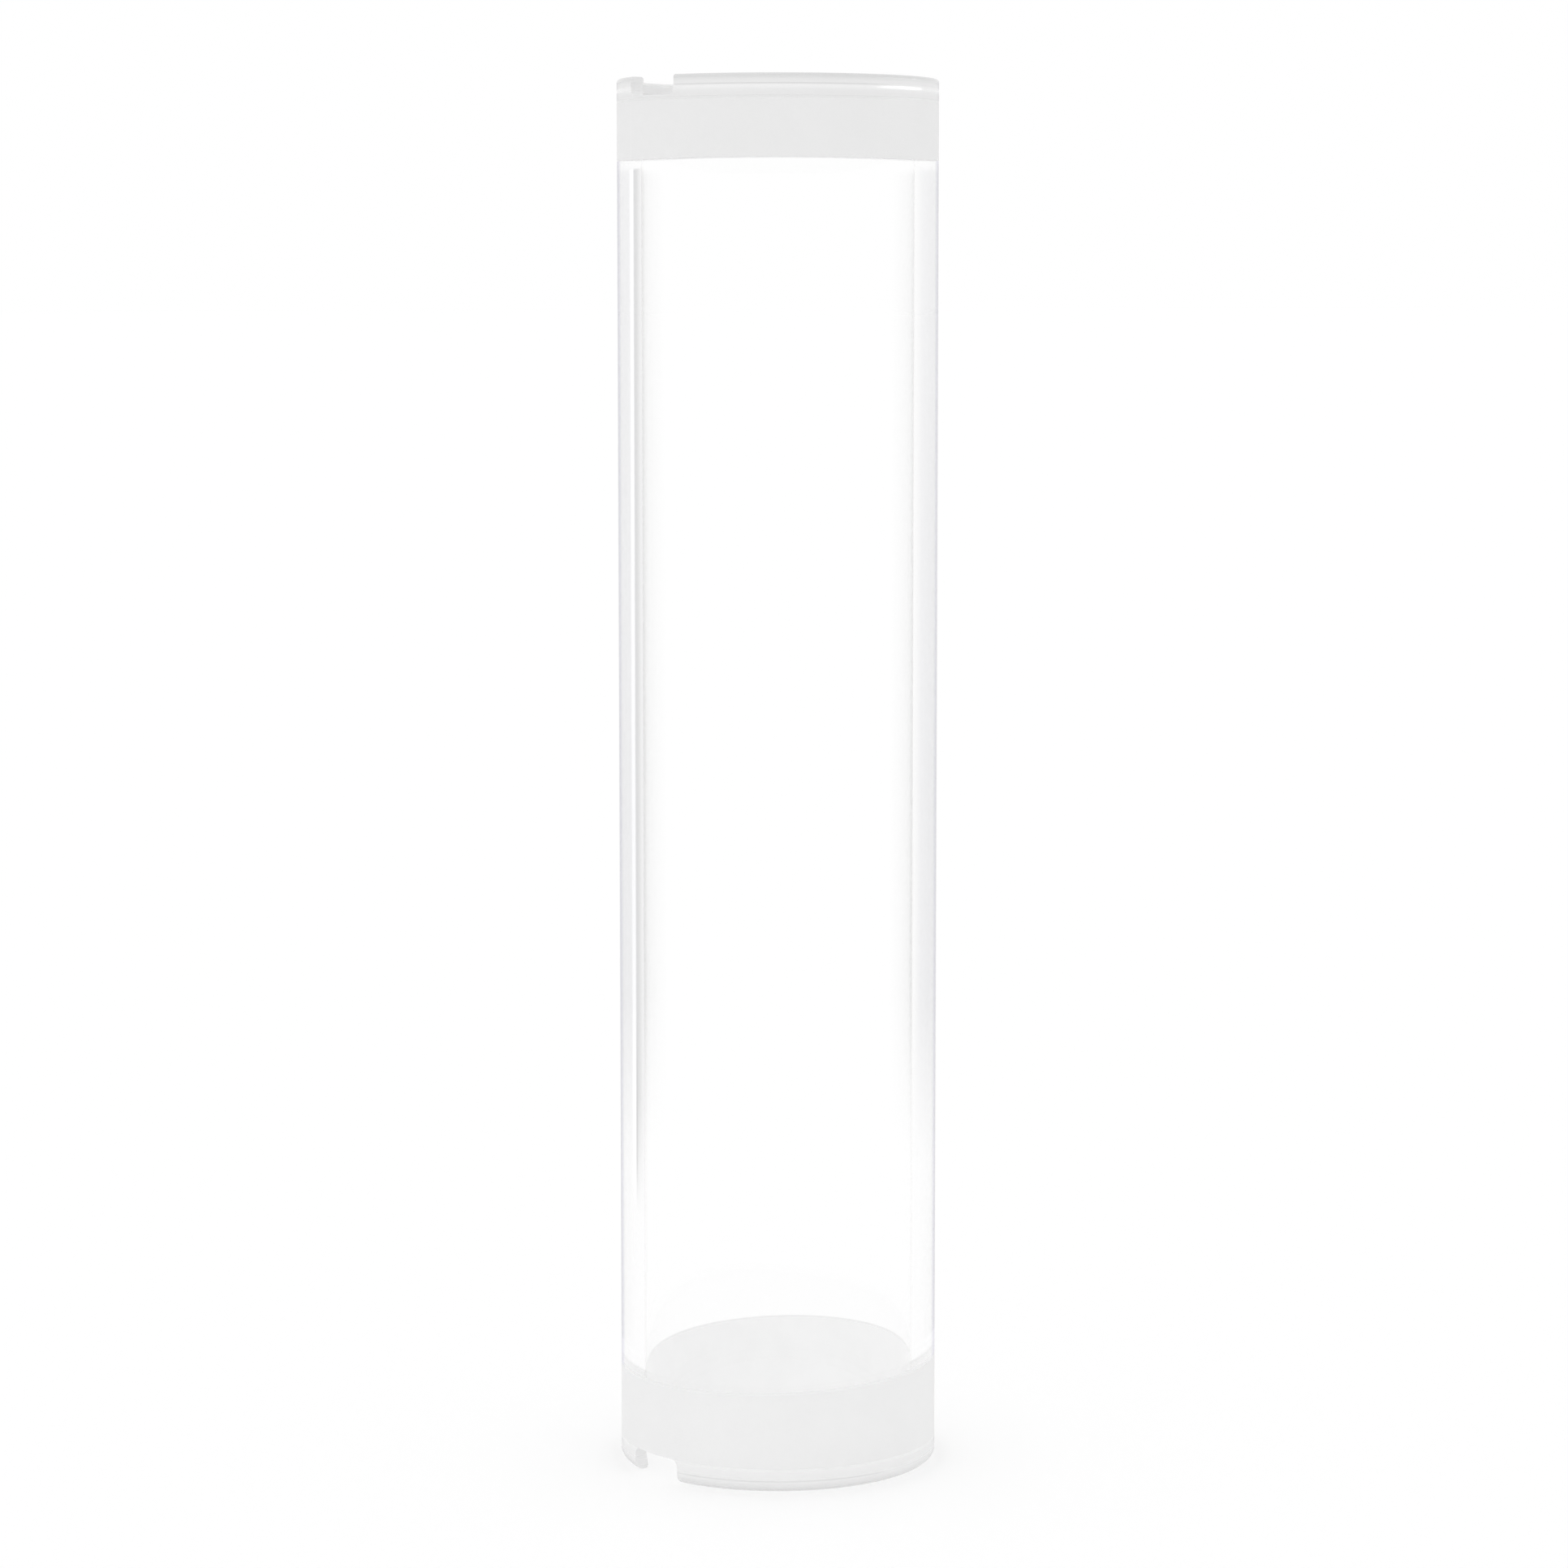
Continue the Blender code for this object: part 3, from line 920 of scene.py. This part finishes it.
def build_glint():
    """A long, low, bright panel at the viewer's right, for the gleam on the upper lip."""
    lamp = bpy.data.lights.new("glint", "AREA")
    lamp.shape = "ELLIPSE"
    lamp.size = GLINT_WIDTH
    lamp.size_y = GLINT_HEIGHT
    lamp.energy = GLINT_POWER
    panel = bpy.data.objects.new("glint", lamp)
    side = VIEWERS_RIGHT * math.sin(GLINT_ANGLE) + TOWARDS_VIEWER * math.cos(GLINT_ANGLE)
    panel.location = side * GLINT_DISTANCE + Vector((0, 0, GLINT_LEVEL))
    panel.rotation_euler = side.to_track_quat("Z", "Y").to_euler()
    panel.visible_diffuse = False
    panel.visible_transmission = False
    bpy.context.scene.collection.objects.link(panel)


def only_in_wall(tree, shader, output):
    """Hides a panel from all rays but those that crossed two surfaces and were mirrored, as in the wall."""
    path = add_node(tree, "ShaderNodeLightPath", (-200, 600))
    crossed = add_node(tree, "ShaderNodeMath", (0, 600), operation="COMPARE")
    crossed.inputs[1].default_value = WALL_CROSSINGS
    crossed.inputs[2].default_value = HALF_COUNT
    link(tree, path.outputs["Transmission Depth"], crossed.inputs[0])
    mirrored = add_node(tree, "ShaderNodeMath", (0, 400), operation="GREATER_THAN")
    mirrored.inputs[1].default_value = HALF_COUNT
    link(tree, path.outputs["Glossy Depth"], mirrored.inputs[0])
    both = product(tree, (200, 600), crossed.outputs[0], mirrored.outputs[0])
    clear = add_node(tree, "ShaderNodeBsdfTransparent", (200, 300))
    mix = add_node(tree, "ShaderNodeMixShader", (450, 300))
    link(tree, both, mix.inputs["Fac"])
    link(tree, clear.outputs["BSDF"], mix.inputs[1])
    link(tree, shader.outputs["BSDF"], mix.inputs[2])
    output.location = (700, 300)
    link(tree, mix.outputs["Shader"], output.inputs["Surface"])


def build_flag():
    """A grey panel left of and behind the tube, which shows as lines in its wall."""
    far = -TOWARDS_VIEWER
    near_edge = far * math.cos(FLAG_START) - VIEWERS_RIGHT * math.sin(FLAG_START)
    far_edge = far * math.cos(FLAG_END) - VIEWERS_RIGHT * math.sin(FLAG_END)
    first = near_edge * FLAG_DISTANCE
    last = far_edge * FLAG_DISTANCE
    rise = Vector((0, 0, FLAG_HEIGHT))
    mesh = bpy.data.meshes.new("flag")
    mesh.from_pydata([last, first, first + rise, last + rise], [], [(0, 1, 2, 3)])
    across = mesh.attributes.new("across", "FLOAT", "POINT")
    up = mesh.attributes.new("up", "FLOAT", "POINT")
    for i, (sideways, upwards) in enumerate(FLAG_CORNERS):
        across.data[i].value = sideways
        up.data[i].value = upwards
    flag = bpy.data.objects.new("flag", mesh)
    bpy.context.scene.collection.objects.link(flag)
    material, tree, shader, output = new_material("grey_flag")
    shader.inputs["Base Color"].default_value = grey(0.0)
    shader.inputs["Specular IOR Level"].default_value = 0.0
    from_side = add_node(tree, "ShaderNodeAttribute", (-900, 200), attribute_name="across")
    from_foot = add_node(tree, "ShaderNodeAttribute", (-900, -100), attribute_name="up")
    levels = [(place, level / FLAG_GLOW) for place, level in FLAG_LEVELS]
    side_level = ramped(tree, (-700, 200), from_side.outputs["Fac"], levels)
    foot_fade = ramped(tree, (-700, -100), from_foot.outputs["Fac"], FLAG_FOOT_FADE)
    shown = blended(tree, (-300, 100), foot_fade, grey(1 / FLAG_GLOW), side_level)
    foot_line = ramped(tree, (-700, 500), from_side.outputs["Fac"], FLAG_FOOT_LINE)
    foot_reach = ramped(tree, (-700, 800), from_foot.outputs["Fac"], FLAG_FOOT_REACH)
    lined = blended(tree, (-150, 300), foot_reach, shown, foot_line, "MULTIPLY")
    link(tree, lined, shader.inputs["Emission Color"])
    shader.inputs["Emission Strength"].default_value = FLAG_GLOW
    only_in_wall(tree, shader, output)
    mesh.materials.append(material)
    flag.visible_camera = False
    flag.visible_diffuse = False
    flag.visible_shadow = False


def build_camera():
    data = bpy.data.cameras.new("camera")
    data.lens = CAMERA_LENS
    data.sensor_width = SENSOR_WIDTH
    data.clip_start, data.clip_end = CAMERA_CLIP
    camera = bpy.data.objects.new("camera", data)
    bpy.context.scene.collection.objects.link(camera)
    camera.location = TOWARDS_VIEWER * CAMERA_DISTANCE + Vector((0, 0, CAMERA_HEIGHT))
    aim = VIEWERS_RIGHT * CAMERA_AIM_RIGHT + Vector((0, 0, CAMERA_AIM_HEIGHT))
    camera.rotation_euler = (aim - camera.location).to_track_quat("-Z", "Y").to_euler()
    bpy.context.scene.camera = camera


def build_collar(side, sleeve, lip_end, tree, finishes):
    """One collar: the frosted sleeve, the cement in its seam and the notched lip."""
    body = f"{side}_collar"
    rises = 1 if side == "lower" else -1
    seat = lip_end + rises * LIP_HEIGHT
    sleeve_seat = sleeve[0] if side == "lower" else sleeve[1]
    mouth = "high" if side == "lower" else "low"

    band = turned(f"{side}_sleeve_frosted", sleeve_profile(*sleeve, mouth), finishes["frosted"], tree)
    if side == "lower":
        slant_rim(band, sleeve[1], LOWER_RIM_RISE)
    else:
        slant_rim(band, sleeve[0], UPPER_RIM_RISE)
    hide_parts(f"{side}_sleeve")
    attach(band, body)

    depth = sleeve_seat + NOTCH_OVERCUT if side == "lower" else UPPER_NOTCH_DEPTH
    cutter = notch_cutter(f"{side}_notch", lip_end, rises, depth)
    rounding = LOWER_LIP_ROUNDING if side == "lower" else UPPER_LIP_ROUNDING
    profile = lip_profile(seat, lip_end, rounding)
    lip = turned(f"{side}_lip_polished", profile, finishes["lip"], tree, cutter, NOTCH_EDGE)
    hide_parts(f"{side}_lip")
    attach(lip, body)

    seam = sorted((seat, sleeve_seat))
    bead = turned(f"{side}_cement_line", cement_profile(*seam), finishes["cement"], tree, cutter)
    bpy.data.objects.remove(cutter, do_unlink=True)
    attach(bead, body)


def main():
    build_camera()
    build_world()
    build_floor()
    build_key_light()
    build_glint()
    build_flag()
    tree = turned_tree()
    finishes = {
        "clear": clear_acrylic(),
        "ground": ground_acrylic(),
        "lip": polished_acrylic(),
        "frosted": frosted_acrylic(),
        "cement": cement(),
    }
    barrel = turned("barrel_clear", barrel_profile(), finishes["clear"], tree)
    grind_spigots(barrel, finishes["ground"])
    slant_rim(barrel, LOWER_SLEEVE[1], LOWER_RIM_RISE)
    slant_rim(barrel, UPPER_SLEEVE[0], UPPER_RIM_RISE)
    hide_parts("barrel")
    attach(barrel, "tube")
    build_collar("lower", LOWER_SLEEVE, 0.0, tree, finishes)
    build_collar("upper", UPPER_SLEEVE, TUBE_LENGTH, tree, finishes)
    bpy.context.scene.view_settings.view_transform = "Standard"


main()
